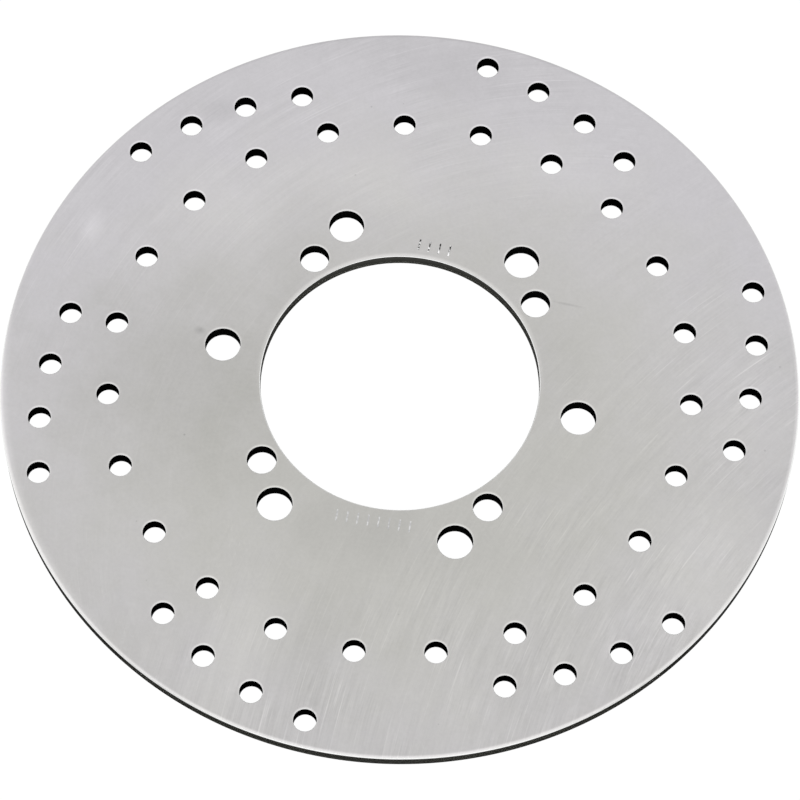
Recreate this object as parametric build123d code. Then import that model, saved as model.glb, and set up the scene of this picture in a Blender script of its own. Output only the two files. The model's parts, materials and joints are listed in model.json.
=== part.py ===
from build123d import *

import os
from math import acos, degrees

# A one-piece drilled brake disc: a flat ground ring plate with a hub bore, two bolt circles so that
# it fits two hubs, a full ring of vent holes, and rows of vent holes that sweep out to the rim.
#
# Millimetres. The origin is the centre of the bore on the hub-side face. +Z is the disc's axis and
# points to the outer face. +X runs through the mounting hole that the first vent holes line up with.

# Plate.
disc_diameter = 230.0
disc_thickness = 4.5
bore_diameter = 80.5

# Large bolt holes. The land is the metal between the bore's wall and a hole.
large_bolt_hole_diameter = 10.2
large_bolt_hole_count = 6
large_bolt_land = 7.15

# Small bolt holes, turned so that each lies between two large ones.
small_bolt_hole_diameter = 8.5
small_bolt_hole_count = 4
small_bolt_land = 2.15
small_bolt_turn = 45.0

# Vent holes. Each swept row starts beside a large bolt hole and steps outward, its outermost hole a
# set distance in from the rim, and the full ring lies a set distance inside the rows.
vent_hole_diameter = 6.5
ring_hole_count = 23
ring_to_row_gap = 13.9
row_hole_count = 4
row_pitch = 17.2
row_step_outward = 3.0
row_end_to_rim = 8.0

# Broken edges.
rim_edge_break = 0.3
hole_edge_break = 0.15

# Two rows of plain batch ticks, pressed into the outer face on opposite sides of the bore. Each row
# is straight, its middle set a distance out from the bore's wall. Directions are in degrees.
tick_length = 3.4
tick_width = 0.45
tick_pitch = 3.0
tick_to_bore = 2.4
deep_tick_count = 4
deep_tick_depth = 0.12
deep_tick_direction = 269.5
faint_tick_count = 8
faint_tick_depth = 0.04
faint_tick_direction = 92.9

disc_radius = disc_diameter / 2
bore_radius = bore_diameter / 2
large_bolt_circle_radius = bore_radius + large_bolt_land + large_bolt_hole_diameter / 2
small_bolt_circle_radius = bore_radius + small_bolt_land + small_bolt_hole_diameter / 2
row_end_radius = disc_radius - row_end_to_rim
row_start_radius = row_end_radius - (row_hole_count - 1) * row_step_outward
ring_radius = row_start_radius - ring_to_row_gap


def polar(radius, direction):
    """Location at a radius and a direction in degrees, turned to face outward."""
    return Rot(0, 0, direction) * Pos(radius, 0, 0)


def circle_of_places(radius, count, turn=0.0):
    """Evenly spaced locations on a circle, the first at the turn given in degrees."""
    return [polar(radius, turn + 360.0 * index / count) for index in range(count)]


def angle_of_step(inner_radius, outer_radius, pitch):
    """Degrees between two points on two radii that lie a pitch apart."""
    opposite = inner_radius**2 + outer_radius**2 - pitch**2
    return degrees(acos(opposite / (2 * inner_radius * outer_radius)))


def swept_row(start_direction):
    """Locations of one row of vent holes, equally pitched and stepping outward."""
    radius = row_start_radius
    direction = start_direction
    places = [polar(radius, direction)]
    for _ in range(row_hole_count - 1):
        direction += angle_of_step(radius, radius + row_step_outward, row_pitch)
        radius += row_step_outward
        places.append(polar(radius, direction))
    return places


def vent_places():
    """Locations of the full ring of vent holes and of one swept row for each large bolt hole."""
    places = circle_of_places(ring_radius, ring_hole_count)
    for row in range(large_bolt_hole_count):
        places += swept_row(360.0 * row / large_bolt_hole_count)
    return places


def drilled_holes():
    """Outlines of every hole but the bore, as one flat sketch."""
    large_places = circle_of_places(large_bolt_circle_radius, large_bolt_hole_count)
    small_places = circle_of_places(small_bolt_circle_radius, small_bolt_hole_count, small_bolt_turn)
    holes = [place * Circle(large_bolt_hole_diameter / 2) for place in large_places]
    holes += [place * Circle(small_bolt_hole_diameter / 2) for place in small_places]
    holes += [place * Circle(vent_hole_diameter / 2) for place in vent_places()]
    return Sketch() + holes


def tick_row(count, depth, direction):
    """Shallow cutters for one row of ticks, side by side along the tangent at the middle of the row."""
    middle = polar(bore_radius + tick_to_bore + tick_length / 2, direction)
    ticks = []
    for index in range(count):
        offset = (index - (count - 1) / 2) * tick_pitch
        place = middle * Pos(0, offset, disc_thickness)
        ticks.append(place * Box(tick_length, tick_width, 2 * depth))
    return ticks


def break_circles(plate, smallest, largest, edge_break):
    """The plate with a small chamfer on every round edge whose radius lies between the two given."""
    round_edges = plate.edges().filter_by(GeomType.CIRCLE)
    return chamfer(round_edges.filter_by(lambda edge: smallest < edge.radius < largest), edge_break)


def brake_disc():
    """The finished plate."""
    outline = Circle(disc_radius) - Circle(bore_radius) - drilled_holes()
    plate = extrude(outline, disc_thickness)
    between_holes_and_bore = (large_bolt_hole_diameter / 2 + bore_radius) / 2
    plate = break_circles(plate, 0, between_holes_and_bore, hole_edge_break)
    plate = break_circles(plate, between_holes_and_bore, disc_diameter, rim_edge_break)
    plate -= tick_row(deep_tick_count, deep_tick_depth, deep_tick_direction)
    plate -= tick_row(faint_tick_count, faint_tick_depth, faint_tick_direction)
    return plate


os.makedirs("parts", exist_ok=True)
export_step(brake_disc(), "parts/brake_disc.step")
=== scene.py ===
import json
from dataclasses import dataclass
from math import cos, hypot, pi, radians, sin, sqrt, tau

import bmesh
import bpy
import numpy as np
from mathutils import Matrix, Vector
from mathutils.geometry import delaunay_2d_cdt


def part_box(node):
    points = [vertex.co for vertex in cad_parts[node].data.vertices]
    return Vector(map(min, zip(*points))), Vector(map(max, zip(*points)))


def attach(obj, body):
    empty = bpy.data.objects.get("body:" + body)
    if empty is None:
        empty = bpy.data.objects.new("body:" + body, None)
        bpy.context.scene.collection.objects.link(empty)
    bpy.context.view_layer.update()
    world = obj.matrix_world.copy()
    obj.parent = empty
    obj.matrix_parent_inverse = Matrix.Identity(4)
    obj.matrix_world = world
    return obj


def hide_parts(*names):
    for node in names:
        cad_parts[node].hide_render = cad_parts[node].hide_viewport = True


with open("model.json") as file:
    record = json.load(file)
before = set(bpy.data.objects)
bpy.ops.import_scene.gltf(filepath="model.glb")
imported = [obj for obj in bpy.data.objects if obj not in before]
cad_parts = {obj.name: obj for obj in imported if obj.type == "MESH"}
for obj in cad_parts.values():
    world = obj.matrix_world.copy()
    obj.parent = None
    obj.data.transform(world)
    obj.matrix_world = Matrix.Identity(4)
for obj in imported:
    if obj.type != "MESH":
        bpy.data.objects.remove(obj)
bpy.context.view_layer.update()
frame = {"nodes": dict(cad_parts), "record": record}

# A drilled brake disc, ground on both faces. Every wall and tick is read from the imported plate, and the
# disc is rebuilt on them with finer rounds, softened edges and sloping ticks. Metres, in the plate's
# frame.
MM = 0.001
plate = frame["nodes"]["brake_disc"]
low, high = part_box("brake_disc")
top, bottom = high.z, low.z
disc_radius = high.x
bore_radius = next(
    mount["dims"]["r_mm"] * MM
    for mount in frame["record"]["mounts"]
    if mount["name"] == "hub_bore"
)
bolt_radii = [
    mount["dims"]["hole_r_mm"] * MM
    for mount in frame["record"]["mounts"]
    if mount["kind"] == "bolt_pattern"
]

# Mesh fineness: the sides of a round wall's polygon, and the grid of points over a face, which keeps
# clear of walls and ticks.
longest_side = 1.1 * MM
fewest_sides = 56
face_grid = 4.5 * MM
grid_clearance = 1.6 * MM

# Softened edges, stepped from the face to the wall: a bulge of 0 is a straight chamfer and 1 a full
# round.
edge_steps = 4
edge_bulge = 0.5

# The collar round each drilled hole, which carries a painted highlight, and the side of the hole on which
# that painted highlight is strongest. All directions are in degrees from the frame's X.
collar_width = 0.75 * MM
collar_highlight_direction = 282

# A tick deeper than this is one of the deep row.
deepest_faint_tick = 0.08 * MM

# Numbers of the finishes on the disc, in the order of its material slots.
GROUND, EDGE_HIGHLIGHT, DEEP_TICK, FAINT_TICK, RIM, BORE, BOLT, VENT = range(8)

# How many of the steps of a wall's softened edge get the edge finish's painted highlight, counted from
# the face; the rest get the wall's painted shade.
highlight_steps = {RIM: 4, BORE: 3, BOLT: 2, VENT: 2}


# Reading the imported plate. Points closer together than this are one point.
same_place = 0.001 * MM


@dataclass
class Wall:
    """An upright round wall: the rim, the bore or a drilled hole."""

    x: float
    y: float
    radius: float
    edge_break: float

    @property
    def is_rim(self):
        return self.radius > 0.99 * disc_radius

    @property
    def finish(self):
        if self.is_rim:
            return RIM
        if self.radius > 1.5 * max(bolt_radii):
            return BORE
        return BOLT if self.radius > 0.95 * min(bolt_radii) else VENT


@dataclass
class Tick:
    """A shallow pressed mark: the four corners of its outline, in turn, and its depth."""

    corners: list
    depth: float

    @property
    def middle(self):
        return sum(self.corners, Vector((0, 0))) / 4

    @property
    def reach(self):
        return (self.corners[0] - self.corners[2]).length / 2

    @property
    def finish(self):
        return DEEP_TICK if self.depth > deepest_faint_tick else FAINT_TICK


def upright_groups(mesh):
    """Corner points of each group of touching upright faces."""
    solid = bmesh.new()
    solid.from_mesh(mesh)
    bmesh.ops.remove_doubles(solid, verts=solid.verts, dist=same_place)
    solid.normal_update()
    waiting = {face for face in solid.faces if abs(face.normal.z) < 0.1}
    groups = []
    while waiting:
        reached = [waiting.pop()]
        points = set()
        while reached:
            face = reached.pop()
            points.update(corner.co.to_tuple() for corner in face.verts)
            touching = {other for edge in face.edges for other in edge.link_faces} & waiting
            waiting -= touching
            reached.extend(touching)
        groups.append(np.array(sorted(points)))
    solid.free()
    return groups


def fitted_wall(points):
    """The wall through a group of points, by least squares on its circle."""
    x, y = points[:, 0], points[:, 1]
    system = np.column_stack([2 * x, 2 * y, np.ones_like(x)])
    (centre_x, centre_y, rest), *_ = np.linalg.lstsq(system, x**2 + y**2, rcond=None)
    radius = sqrt(rest + centre_x**2 + centre_y**2)
    return Wall(centre_x, centre_y, radius, top - points[:, 2].max())


def fitted_tick(points):
    """The tick whose side walls pass through a group of points."""
    upper = points[points[:, 2] > top - same_place][:, :2]
    middle = upper.mean(axis=0)
    turns = np.arctan2(*(upper - middle).T[::-1])
    corners = [Vector(upper[index]) for index in np.argsort(turns)]
    return Tick(corners, top - points[:, 2].min())


def read_plate():
    """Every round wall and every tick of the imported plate."""
    groups = upright_groups(plate.data)
    middle = (top + bottom) / 2
    walls = [fitted_wall(points) for points in groups if points[:, 2].min() < middle]
    ticks = [fitted_tick(points) for points in groups if points[:, 2].min() > middle]
    return walls, ticks


# Building the finished mesh.


class Skin:
    """Points and faces of a mesh in the making, each face with the number of its finish."""

    def __init__(self):
        self.points = []
        self.faces = []
        self.finishes = []
        self.painted_highlight_of = {}

    def add_loop(self, places):
        start = len(self.points)
        self.points.extend(places)
        return list(range(start, len(self.points)))

    def add_face(self, corners, finish):
        self.faces.append(corners)
        self.finishes.append(finish)

    def add_band(self, loop, next_loop, finish):
        count = len(loop)
        for index in range(count):
            after = (index + 1) % count
            self.add_face([loop[index], loop[after], next_loop[after], next_loop[index]], finish)

    def add_flat(self, outer, holes, scattered, finish):
        """Triangles between the outer loop and the hole loops, through the scattered points."""
        members = [*outer, *(corner for hole in holes for corner in hole), *scattered]
        place_of = {corner: index for index, corner in enumerate(members)}
        hole_of = {corner: number for number, hole in enumerate(holes) for corner in hole}
        flat = [Vector(self.points[corner][:2]) / MM for corner in members]
        edges = []
        for loop in (outer, *holes):
            for index, corner in enumerate(loop):
                edges.append((place_of[corner], place_of[loop[(index + 1) % len(loop)]]))
        inside_outline, tolerance = 1, 1e-6
        found = delaunay_2d_cdt(flat, edges, [], inside_outline, tolerance)
        triangles, origins = found[2], found[3]
        for triangle in triangles:
            corners = [members[origins[index][0]] for index in triangle]
            touched = {hole_of.get(corner) for corner in corners}
            if len(touched) > 1 or touched == {None}:
                self.add_face(corners, finish)


def side_count(wall):
    """Sides of a wall's polygon: a multiple of 8, fine enough for its radius."""
    return max(fewest_sides, 8 * round(tau * wall.radius / longest_side / 8))


def wall_loop(wall, outward, height):
    """Points of a wall's polygon, moved outward from the wall and set at a height."""
    count = side_count(wall)
    radius = wall.radius + outward
    turns = [tau * index / count for index in range(count)]
    return [Vector((wall.x + radius * cos(turn), wall.y + radius * sin(turn), height)) for turn in turns]


def edge_profile(wall):
    """Offsets into the metal and down from the face, along a softened chamfer."""
    offsets = []
    for step in range(edge_steps + 1):
        share = step / edge_steps
        turn = share * pi / 2
        chamfer = Vector((1 - share, share))
        rounding = Vector((1 - sin(turn), 1 - cos(turn)))
        offsets.append(wall.edge_break * chamfer.lerp(rounding, edge_bulge))
    return offsets


def add_wall(skin, wall):
    """Adds a wall with both softened edges and returns its loops on the upper and lower face."""
    into_metal = -1 if wall.is_rim else 1
    profile = edge_profile(wall)
    upper = [skin.add_loop(wall_loop(wall, into_metal * back, top - down)) for back, down in profile]
    lower = [skin.add_loop(wall_loop(wall, into_metal * back, bottom + down)) for back, down in profile]
    for loops in (upper, lower):
        for step, (loop, next_loop) in enumerate(zip(loops, loops[1:])):
            # The outer steps of each edge get the painted highlight, the rest the wall's painted shade.
            skin.add_band(loop, next_loop, EDGE_HIGHLIGHT if step < highlight_steps[wall.finish] else wall.finish)
    skin.add_band(upper[-1], lower[-1], wall.finish)
    return upper[0], lower[0]


def add_collar(skin, wall, loop):
    """Adds a narrow flat ring round a hole's edge on the upper face, sets the strength of the painted
    highlight at the hole's edge, strongest on one side, and returns its outer loop.
    """
    for index, corner in enumerate(loop):
        turn = tau * index / len(loop)
        skin.painted_highlight_of[corner] = max(0.0, 0.3 + 0.7 * cos(turn - radians(collar_highlight_direction)))
    outer = skin.add_loop(wall_loop(wall, wall.edge_break + collar_width, top))
    skin.add_band(loop, outer, GROUND)
    return outer


def add_tick(skin, tick):
    """Adds a tick with sides that slope to a narrower floor, and returns its loop on the face."""
    along = (tick.corners[1] - tick.corners[0]).normalized()
    across = (tick.corners[2] - tick.corners[1]).normalized()
    rim_places, floor_places = [], []
    for corner in tick.corners:
        offset = corner - tick.middle
        inset = Vector((0, 0))
        for direction in (along, across):
            reach = offset.dot(direction)
            inset += direction * (reach - tick.depth * (1 if reach > 0 else -1))
        rim_places.append(corner.to_3d() + Vector((0, 0, top)))
        floor_places.append((tick.middle + inset).to_3d() + Vector((0, 0, top - tick.depth)))
    rim = skin.add_loop(rim_places)
    floor = skin.add_loop(floor_places)
    skin.add_band(rim, floor, tick.finish)
    skin.add_face(floor, tick.finish)
    return rim


def scatter_grid(walls, ticks, height):
    """A triangular grid of points over the face, clear of every wall and tick."""
    row_height = face_grid * sqrt(3) / 2
    rows = int(2 * disc_radius / row_height)
    kept_clear = [(wall.x, wall.y, wall.radius) for wall in walls if not wall.is_rim]
    kept_clear += [(*tick.middle, tick.reach) for tick in ticks]
    places = []
    for row in range(rows):
        y = -disc_radius + (row + 0.5) * row_height
        for column in range(int(2 * disc_radius / face_grid)):
            x = -disc_radius + (column + 0.25 + 0.5 * (row % 2)) * face_grid
            gaps = [disc_radius - hypot(x, y)]
            gaps += [hypot(x - at_x, y - at_y) - reach for at_x, at_y, reach in kept_clear]
            if min(gaps) > grid_clearance:
                places.append(Vector((x, y, height)))
    return places


def build_disc():
    """The finished disc as one closed mesh."""
    walls, ticks = read_plate()
    skin = Skin()
    upper, lower = {}, {}
    for number, wall in enumerate(walls):
        upper[number], lower[number] = add_wall(skin, wall)
        if wall.finish in (BOLT, VENT):
            upper[number] = add_collar(skin, wall, upper[number])
    rim = next(number for number, wall in enumerate(walls) if wall.is_rim)
    upper_holes = [loop for number, loop in upper.items() if number != rim]
    lower_holes = [loop for number, loop in lower.items() if number != rim]
    upper_holes += [add_tick(skin, tick) for tick in ticks]
    upper_grid = skin.add_loop(scatter_grid(walls, ticks, top))
    lower_grid = skin.add_loop(scatter_grid(walls, [], bottom))
    skin.add_flat(upper[rim], upper_holes, upper_grid, GROUND)
    skin.add_flat(lower[rim], lower_holes, lower_grid, GROUND)

    mesh = bpy.data.meshes.new("brake_disc_finished")
    mesh.from_pydata(skin.points, [], skin.faces)
    mesh.polygons.foreach_set("material_index", skin.finishes)
    # Strength of the painted highlight round each drilled hole, read by the ground material.
    highlight_paint = mesh.attributes.new("collar_painted_highlight", "FLOAT", "POINT")
    for corner, strength in skin.painted_highlight_of.items():
        highlight_paint.data[corner].value = strength
    disc = bpy.data.objects.new("brake_disc_finished", mesh)
    bpy.context.scene.collection.objects.link(disc)
    shade_disc(mesh)
    return disc


def shade_disc(mesh):
    """Turns every face outward, and shades the rounds smooth with a crisp line round each flat."""
    solid = bmesh.new()
    solid.from_mesh(mesh)
    bmesh.ops.recalc_face_normals(solid, faces=solid.faces)
    for face in solid.faces:
        face.smooth = True
    for edge in solid.edges:
        one, other = edge.link_faces
        same_finish = one.material_index == other.material_index
        edge.smooth = same_finish and one.normal.angle(other.normal) < radians(30)
    solid.to_mesh(mesh)
    solid.free()


# Materials.


class Graph:
    """Adds nodes to a material's tree, one plain call for each."""

    def __init__(self, name):
        self.material = bpy.data.materials.new(name)
        self.material.use_nodes = True
        self.tree = self.material.node_tree
        self.tree.nodes.clear()
        self.shader = self.tree.nodes.new("ShaderNodeBsdfPrincipled")
        output = self.tree.nodes.new("ShaderNodeOutputMaterial")
        self.tree.links.new(self.shader.outputs["BSDF"], output.inputs["Surface"])
        self.place = self.tree.nodes.new("ShaderNodeTexCoord").outputs["Object"]

    def plug(self, value, socket):
        if isinstance(value, bpy.types.NodeSocket):
            self.tree.links.new(value, socket)
        else:
            socket.default_value = value

    def math(self, operation, *values):
        node = self.tree.nodes.new("ShaderNodeMath")
        node.operation = operation
        for value, socket in zip(values, node.inputs):
            self.plug(value, socket)
        return node.outputs[0]

    def vector(self, operation, *values):
        node = self.tree.nodes.new("ShaderNodeVectorMath")
        node.operation = operation
        for value, socket in zip(values, node.inputs):
            self.plug(value, socket)
        result = "Value" if operation in ("LENGTH", "DOT_PRODUCT") else "Vector"
        return node.outputs[result]

    def scaled(self, vector, factor):
        node = self.tree.nodes.new("ShaderNodeVectorMath")
        node.operation = "SCALE"
        self.plug(vector, node.inputs[0])
        self.plug(factor, node.inputs["Scale"])
        return node.outputs["Vector"]

    def combined(self, x, y, z):
        node = self.tree.nodes.new("ShaderNodeCombineXYZ")
        for value, socket in zip((x, y, z), node.inputs):
            self.plug(value, socket)
        return node.outputs[0]

    def separated(self, vector):
        node = self.tree.nodes.new("ShaderNodeSeparateXYZ")
        self.plug(vector, node.inputs[0])
        return node.outputs

    def noise(self, vector, scale, detail, roughness=0.5):
        node = self.tree.nodes.new("ShaderNodeTexNoise")
        self.plug(vector, node.inputs["Vector"])
        node.inputs["Scale"].default_value = scale
        node.inputs["Detail"].default_value = detail
        node.inputs["Roughness"].default_value = roughness
        return node.outputs["Fac"]

    def ramp(self, value, start, end, start_value=0.0, end_value=1.0):
        """Smooth change from one value to another as the input goes from start to end."""
        node = self.tree.nodes.new("ShaderNodeMapRange")
        node.interpolation_type = "SMOOTHSTEP"
        settings = (value, start, end, start_value, end_value)
        names = ("Value", "From Min", "From Max", "To Min", "To Max")
        for setting, name in zip(settings, names):
            self.plug(setting, node.inputs[name])
        return node.outputs["Result"]

    def mixed(self, factor, tint, other_tint):
        """Mix of two colours. The node's sockets for colours have these numbers."""
        node = self.tree.nodes.new("ShaderNodeMix")
        node.data_type = "RGBA"
        factor_socket, tint_socket, other_socket = node.inputs[0], node.inputs[6], node.inputs[7]
        self.plug(factor, factor_socket)
        self.plug(tint, tint_socket)
        self.plug(other_tint, other_socket)
        return node.outputs[2]

    def blend(self, factor, value, other_value):
        """Mix of two numbers."""
        node = self.tree.nodes.new("ShaderNodeMix")
        self.plug(factor, node.inputs["Factor"])
        self.plug(value, node.inputs["A"])
        self.plug(other_value, node.inputs["B"])
        return node.outputs["Result"]

    def centred(self, value):
        """A noise value moved to lie about nought."""
        return self.math("SUBTRACT", value, 0.5)

    def bump(self, height, strength, distance):
        node = self.tree.nodes.new("ShaderNodeBump")
        node.inputs["Strength"].default_value = strength
        node.inputs["Distance"].default_value = distance
        self.plug(height, node.inputs["Height"])
        return node.outputs["Normal"]


def linear(shade):
    """A screen shade from 0 to 255 as light."""
    share = shade / 255
    return share / 12.92 if share < 0.04045 else ((share + 0.055) / 1.055) ** 2.4


def colour(red, green, blue):
    """A colour with an alpha of 1 from screen shades."""
    return (linear(red), linear(green), linear(blue), 1.0)


def grey(shade):
    return colour(shade, shade, shade)


# The grinding wheel's centre for each half of the ground face. The halves meet on a line through the
# disc's middle.
near_centre = Vector((-59, 30, 0)) * MM
far_centre = Vector((-271, 112, 0)) * MM
halves_direction = -33
halves_blend = 35 * MM

# Soft patches of the outer face: middle x and y, reach along x and y, and strength.
patches = (
    (60, 12, 60, 50, -0.1),
    (-5, 48, 45, 16, -0.05),
    (4, 88, 16, 32, -0.05),
    (27, 92, 15, 34, 0.08),
    (-98, 42, 26, 38, 0.09),
    (-100, -12, 20, 22, 0.05),
    (-35, 95, 26, 22, 0.03),
    (20, -62, 46, 20, 0.07),
    (-30, -78, 34, 16, 0.05),
    (62, -45, 26, 22, 0.06),
    (10, -104, 56, 18, -0.07),
    (-40, -12, 16, 30, -0.04),
    (38, -28, 18, 28, -0.04),
    (99, -29, 5, 9, 0.12),
    (71, -75, 7, 6, -0.08),
    (60, -3, 2.5, 2, -0.2),
    (-42, -35, 6, 0.6, -0.14),
)

# The side on which the rim's painted highlight is strongest, the side with a wide band of painted
# highlight, and the side towards which the whole face is painted paler, as painted light, and cooler.
rim_highlight_direction = 102
wide_highlight_direction = 30
lit_direction = 285

# The two sides on which the grain is strongest, with its strength there.
worn_directions = ((140, 1.0), (285, 0.7))


def heading_vector(direction):
    return (cos(radians(direction)), sin(radians(direction)), 0.0)


def grinding_arcs(graph, spacing, run, detail):
    """Streaks a spacing apart and a run long, along each wheel's circles on its half of the face. The
    two faces get different streaks."""
    split = graph.vector("DOT_PRODUCT", graph.place, heading_vector(halves_direction))
    near_share = graph.ramp(split, -halves_blend, halves_blend)
    families = []
    for centre in (near_centre, far_centre):
        offset = graph.vector("SUBTRACT", graph.place, tuple(centre))
        offset = graph.vector("MULTIPLY", offset, (1, 1, 0))
        heading = graph.separated(graph.vector("NORMALIZE", offset))
        turns = (centre.length + disc_radius / 2) / run
        across = graph.math("DIVIDE", graph.vector("LENGTH", offset), spacing)
        along_x = graph.math("MULTIPLY", heading[0], turns)
        along_y = graph.math("MULTIPLY", heading[1], turns)
        side_shift = graph.math("MULTIPLY", graph.separated(graph.place)[2], 9 / MM)
        place = graph.combined(graph.math("ADD", across, side_shift), along_x, along_y)
        families.append(graph.noise(place, 1.0, detail, 0.6))
    near, far = families
    return graph.blend(near_share, far, near)


def patch_tone(graph, clouds):
    """The sum of the soft patches, their outlines made uneven by the clouds."""
    flattened = graph.vector("MULTIPLY", graph.place, (1, 1, 8))
    total = 0.0
    for x, y, reach_x, reach_y, strength in patches:
        offset = graph.vector("SUBTRACT", flattened, (x * MM, y * MM, 8 * top))
        reach = (1 / (reach_x * MM), 1 / (reach_y * MM), 1 / (max(reach_x, reach_y) * MM))
        distance = graph.vector("LENGTH", graph.vector("MULTIPLY", offset, reach))
        uneven = graph.math("ADD", distance, clouds)
        total = graph.math("ADD", total, graph.ramp(uneven, 1.0, 0.0, 0.0, strength))
    return total


def edge_painted_highlight(graph, radius):
    """Painted highlight in the last millimetre or so before the rim and the bore, each most on one side,
    with painted shade on the opposite side of the rim and a wider band of painted highlight by the rim on
    one more side.
    """
    heading = graph.vector("NORMALIZE", graph.vector("MULTIPLY", graph.place, (1, 1, 0)))
    facing = graph.vector("DOT_PRODUCT", heading, heading_vector(rim_highlight_direction))
    rim_band = graph.ramp(radius, disc_radius - 1.3 * MM, disc_radius - 0.3 * MM)
    highlight_side = graph.ramp(facing, -0.6, 1.0, 0.0, 0.54)
    shaded_side = graph.ramp(facing, -0.5, -1.0, 0.0, -0.12)
    rim_highlight = graph.math("MULTIPLY", rim_band, graph.math("ADD", highlight_side, shaded_side))
    bore_band = graph.ramp(radius, bore_radius + 1.6 * MM, bore_radius + 0.3 * MM)
    bore_highlight = graph.math("MULTIPLY", bore_band, graph.ramp(facing, 0.4, -1.0, 0.0, 0.3))
    nearness = graph.vector("DOT_PRODUCT", heading, heading_vector(wide_highlight_direction))
    wide_band = graph.ramp(radius, disc_radius - 3 * MM, disc_radius)
    wide_highlight = graph.math("MULTIPLY", wide_band, graph.ramp(nearness, 0.85, 1.0, 0.0, 0.2))
    return graph.math("ADD", graph.math("ADD", rim_highlight, bore_highlight), wide_highlight)


def collar_highlight_tone(graph):
    """Painted highlight in a narrow collar round each drilled hole, strongest on one side."""
    highlight_paint = graph.tree.nodes.new("ShaderNodeAttribute")
    highlight_paint.attribute_name = "collar_painted_highlight"
    return graph.ramp(highlight_paint.outputs["Fac"], 0.0, 1.0, 0.0, 0.42)


def specks(graph, spacing, share, reach, strength):
    """Small round marks on a share of scattered points a spacing apart."""
    cells = graph.tree.nodes.new("ShaderNodeTexVoronoi")
    cells.inputs["Scale"].default_value = 1 / spacing
    graph.plug(graph.place, cells.inputs["Vector"])
    chosen = graph.math("LESS_THAN", graph.separated(cells.outputs["Color"])[0], share)
    dot = graph.ramp(cells.outputs["Distance"], reach / spacing, 0.4 * reach / spacing)
    return graph.math("MULTIPLY", graph.math("MULTIPLY", dot, chosen), strength)


def ground_steel():
    """The ground faces: broken arcs under a cloudy satin, warm by the bore and cool towards the rim,
    painted paler towards one side as painted light, with painted highlights by the rim, the bore and the
    drilled holes and painted shade on one side of the rim.
    """
    graph = Graph("ground_stainless")
    radius = graph.vector("LENGTH", graph.vector("MULTIPLY", graph.place, (1, 1, 0)))
    lit_side = graph.vector("DOT_PRODUCT", graph.place, heading_vector(lit_direction))
    clouds = graph.centred(graph.noise(graph.place, 1 / (18 * MM), 5.0, 0.62))
    mottle = graph.centred(graph.noise(graph.place, 1 / (1.1 * MM), 3.0, 0.6))
    bands = graph.centred(grinding_arcs(graph, 2.2 * MM, 30 * MM, 1.0))
    lines = graph.centred(grinding_arcs(graph, 0.5 * MM, 12 * MM, 2.0))
    scratches = graph.ramp(grinding_arcs(graph, 0.4 * MM, 26 * MM, 0.0), 0.7, 0.82)

    worn_sides = []
    for direction, most in worn_directions:
        reach = graph.vector("DOT_PRODUCT", graph.place, heading_vector(direction))
        worn_sides.append(graph.ramp(reach, -20 * MM, 80 * MM, 0.3, most))
    patchy = graph.ramp(graph.noise(graph.place, 1 / (20 * MM), 2.0), 0.35, 0.65, 0.3, 1.0)
    outward = graph.ramp(radius, 50 * MM, 112 * MM, 0.75, 1.25)
    grain = graph.math("MULTIPLY", graph.math("MAXIMUM", *worn_sides), patchy)
    grain = graph.math("MULTIPLY", grain, outward)
    smears = graph.centred(graph.noise(graph.place, 1 / (5 * MM), 3.0, 0.6))
    smears = graph.math("MULTIPLY", smears, outward)

    tones = [
        graph.ramp(radius, 38 * MM, 95 * MM, -0.06, 0.0),
        # Painted light: the face paler towards one side.
        graph.ramp(lit_side, -100 * MM, 100 * MM, -0.03, 0.035),
        graph.math("MULTIPLY", clouds, 0.08),
        graph.math("MULTIPLY", smears, 0.06),
        graph.math("MULTIPLY", mottle, 0.12),
        graph.math("MULTIPLY", graph.math("MULTIPLY", bands, grain), 0.2),
        graph.math("MULTIPLY", graph.math("MULTIPLY", lines, grain), 0.34),
        graph.math("MULTIPLY", graph.math("MULTIPLY", scratches, grain), 0.14),
        patch_tone(graph, clouds),
        # Painted highlights by the rim, the bore and the drilled holes, and painted shade on one side of
        # the rim.
        edge_painted_highlight(graph, radius),
        collar_highlight_tone(graph),
        specks(graph, 9 * MM, 0.3, 0.4 * MM, -0.2),
    ]
    tone = 1.0
    for part in tones:
        tone = graph.math("ADD", tone, part)

    cool_rim = graph.ramp(radius, 45 * MM, 115 * MM, 0.0, 0.6)
    cool_side = graph.ramp(lit_side, -70 * MM, 90 * MM, -0.1, 0.5)
    cool = graph.math("ADD", graph.math("ADD", cool_rim, cool_side), graph.math("MULTIPLY", clouds, 0.8))
    base = graph.mixed(cool, colour(196, 195, 191), colour(197, 195, 198))
    graph.plug(graph.scaled(base, tone), graph.shader.inputs["Base Color"])
    graph.shader.inputs["Metallic"].default_value = 1.0
    graph.plug(graph.ramp(lines, -0.3, 0.3, 0.36, 0.44), graph.shader.inputs["Roughness"])
    graph.plug(graph.bump(lines, 0.1, 0.03 * MM), graph.shader.inputs["Normal"])
    return graph.material


def edge_steel_painted_highlight():
    """The broken edges, painted paler than the ground faces as a painted highlight, faintly uneven along
    their run.
    """
    graph = Graph("edge_break")
    wear_and_highlight = graph.noise(graph.place, 1 / (1.5 * MM), 2.0)
    base = graph.mixed(wear_and_highlight, colour(214, 214, 213), colour(234, 234, 233))
    graph.plug(base, graph.shader.inputs["Base Color"])
    graph.shader.inputs["Metallic"].default_value = 1.0
    graph.plug(graph.ramp(wear_and_highlight, 0.3, 0.7, 0.26, 0.36), graph.shader.inputs["Roughness"])
    return graph.material


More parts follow.
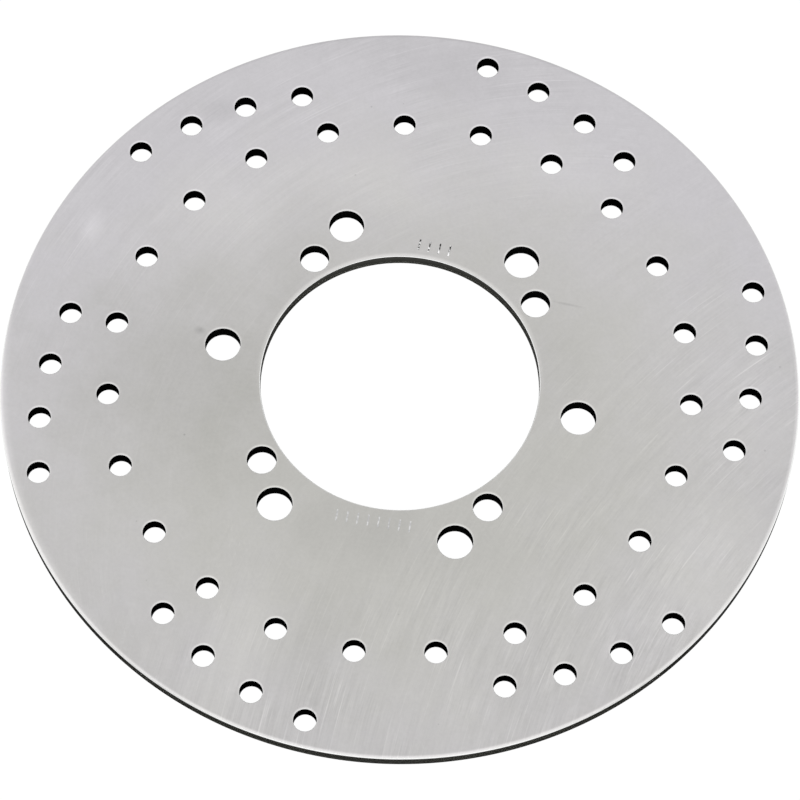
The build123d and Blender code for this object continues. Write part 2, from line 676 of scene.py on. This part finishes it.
def pressed_steel_painted_light(name, shade, darker_shade, smallest, largest):
    """The pressed ticks: steel painted pale as a painted highlight, broken up by darker specks of painted
    shade where the noise lies above the range given.
    """
    graph = Graph(name)
    broken = graph.ramp(graph.noise(graph.place, 1 / (0.8 * MM), 2.0), smallest, largest)
    tone = graph.mixed(broken, grey(shade), grey(darker_shade))
    graph.plug(tone, graph.shader.inputs["Base Color"])
    graph.shader.inputs["Metallic"].default_value = 1.0
    graph.plug(graph.ramp(broken, 0.0, 1.0, 0.3, 0.5), graph.shader.inputs["Roughness"])
    return graph.material


def cut_steel_painted_shade(name, shade, roughness, sheen):
    """A cut wall painted dark as painted shade, with faint lines round it from the tool. The sheen is its
    low-angle gloss.
    """
    graph = Graph(name)
    lines = graph.noise(graph.vector("MULTIPLY", graph.place, (0.04 / MM, 0.04 / MM, 4 / MM)), 1.0, 2.0)
    blotches = graph.noise(graph.place, 1 / (2 * MM), 2.0)
    uneven = graph.math("ADD", graph.math("MULTIPLY", lines, 0.6), graph.math("MULTIPLY", blotches, 0.4))
    darker = colour(0.75 * shade, 0.75 * shade, 0.72 * shade)
    lighter = colour(1.25 * shade, 1.25 * shade, 1.2 * shade)
    graph.plug(graph.mixed(uneven, darker, lighter), graph.shader.inputs["Base Color"])
    graph.shader.inputs["Metallic"].default_value = 1.0
    graph.shader.inputs["Specular Tint"].default_value = (sheen, sheen, sheen, 1.0)
    least, most = roughness - 0.06, roughness + 0.06
    graph.plug(graph.ramp(lines, 0.3, 0.7, least, most), graph.shader.inputs["Roughness"])
    return graph.material


# The stage.


def add_floor():
    """A plain white floor just under the disc, bright enough to lose the disc's shadow."""
    reach = 6.0
    height = bottom - 0.1 * MM
    sides = ((-reach, -reach), (reach, -reach), (reach, reach), (-reach, reach))
    mesh = bpy.data.meshes.new("floor")
    mesh.from_pydata([(x, y, height) for x, y in sides], [], [(0, 1, 2, 3)])
    floor = bpy.data.objects.new("floor", mesh)
    bpy.context.scene.collection.objects.link(floor)
    graph = Graph("floor_paper")
    graph.shader.inputs["Base Color"].default_value = (0.03, 0.03, 0.03, 1.0)
    graph.shader.inputs["Roughness"].default_value = 0.9
    graph.shader.inputs["Specular IOR Level"].default_value = 0.0
    graph.shader.inputs["Emission Color"].default_value = (1.0, 1.0, 1.0, 1.0)
    graph.shader.inputs["Emission Strength"].default_value = 1.0
    mesh.materials.append(graph.material)


# The camera looks from this direction at a point on the outer face, from far off through a long lens.
view_azimuth = 191.576
view_elevation = 65.189
view_roll = 1.225
view_distance = 1108.9 * MM
view_lens = 173.6
view_aim = Vector((-1.33 * MM, 5.82 * MM, top))

softbox_distance = 1.6


def direction_to(azimuth, elevation):
    """Unit vector from the disc towards an azimuth and an elevation, in degrees. Azimuth 0 is -Y."""
    turn, rise = radians(azimuth), radians(elevation)
    return Vector((sin(turn) * cos(rise), -cos(turn) * cos(rise), sin(rise)))


def add_softbox(name, azimuth, elevation, width, height, radiance):
    """A rectangular light that faces the disc's middle. Sizes are in metres."""
    data = bpy.data.lights.new(name, "AREA")
    data.shape = "RECTANGLE"
    data.size = width
    data.size_y = height
    data.energy = radiance * pi * width * height
    light = bpy.data.objects.new(name, data)
    bpy.context.scene.collection.objects.link(light)
    back = direction_to(azimuth, elevation)
    turned = back.to_track_quat("Z", "Y").to_matrix().to_4x4()
    light.matrix_world = Matrix.Translation(back * softbox_distance) @ turned


def add_world(radiance):
    world = bpy.data.worlds.new("studio")
    world.use_nodes = True
    background = world.node_tree.nodes["Background"]
    background.inputs["Color"].default_value = (1.0, 1.0, 1.0, 1.0)
    background.inputs["Strength"].default_value = radiance
    bpy.context.scene.world = world


def add_camera():
    """A long lens, looking down at the outer face."""
    data = bpy.data.cameras.new("camera")
    data.lens = view_lens
    data.sensor_width = 36.0
    data.clip_start = 0.01
    data.clip_end = 50.0
    camera = bpy.data.objects.new("camera", data)
    bpy.context.scene.collection.objects.link(camera)
    back = direction_to(view_azimuth, view_elevation)
    level = Vector((cos(radians(view_azimuth)), sin(radians(view_azimuth)), 0))
    raised = back.cross(level)
    right = level * cos(radians(view_roll)) + raised * sin(radians(view_roll))
    axes = Matrix((right, back.cross(right), back)).transposed()
    camera.matrix_world = Matrix.Translation(view_aim + back * view_distance) @ axes.to_4x4()
    bpy.context.scene.camera = camera


disc = build_disc()
# The edge breaks and ticks are painted pale as painted highlights, and the cut walls dark as painted
# shade, darkest in the narrowest holes.
for material in (
    ground_steel(),
    edge_steel_painted_highlight(),
    pressed_steel_painted_light("deep_tick", 252, 70, 0.44, 0.56),
    pressed_steel_painted_light("faint_tick", 212, 192, 0.4, 0.55),
    cut_steel_painted_shade("rim_wall_painted_shade", 58, 0.5, 0.25),
    cut_steel_painted_shade("bore_wall_painted_shade", 66, 0.5, 0.25),
    cut_steel_painted_shade("bolt_hole_wall_painted_shade", 18, 0.55, 0.0),
    cut_steel_painted_shade("vent_hole_wall_painted_shade", 6, 0.6, 0.0),
):
    disc.data.materials.append(material)
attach(disc, "root")
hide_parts("brake_disc")

add_floor()
add_world(0.8)
add_softbox("overhead", view_azimuth + 180, 65, 1.4, 1.4, 0.3)
add_softbox("front", view_azimuth, 24, 2.4, 1.2, 0.75)
for side, turn in (("left", -90), ("right", 90)):
    add_softbox(side, view_azimuth + turn, 14, 2.0, 1.0, 0.6)
add_camera()
bpy.context.scene.view_settings.view_transform = "Standard"
